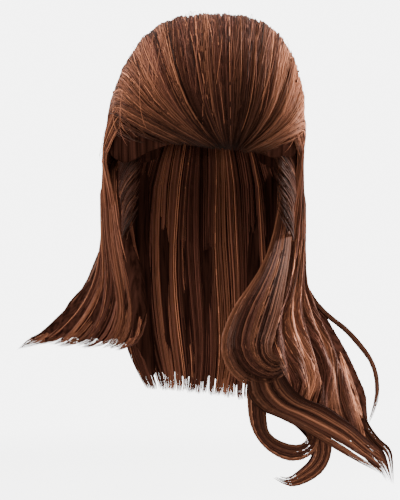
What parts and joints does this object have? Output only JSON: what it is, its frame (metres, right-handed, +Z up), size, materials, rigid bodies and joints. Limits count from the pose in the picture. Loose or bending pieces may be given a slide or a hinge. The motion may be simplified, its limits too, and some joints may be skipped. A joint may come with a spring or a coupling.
{
  "type": "hair topper",
  "caption": "Half-up hair topper: thin domed base with clips, high swept-back crown, temple sweeps and long falls with flicked and curled ends",
  "frame": {"origin": "the point of the base's inner face that rests on the top of the head", "axes": "+Z up, +Y to the back of the head, +X to the wearer's left"},
  "size_m": [0.3586, 0.2058, 0.4456],
  "materials": {
    "hair": "long brown fibre with copper highlights and dark roots, silky sheen",
    "base_net": "dark brown net, matt",
    "clip_enamel": "dark brown enamelled spring steel, satin"
  },
  "bodies": {
    "root": {"base_cap": "base_net", "clip_front": "clip_enamel", "clip_back": "clip_enamel", "clip_left": "clip_enamel", "clip_right": "clip_enamel", "crown_pouf": "hair", "temple_sweep_left": "hair", "temple_sweep_right": "hair", "fall_left": "hair", "fall_right": "hair", "fall_back": "hair", "curl_inner": "hair", "curl_loop": "hair", "curl_tail": "hair", "curl_outer": "hair", "loose_lock": "hair", "flick_right": "hair"}
  },
  "joints": []
}
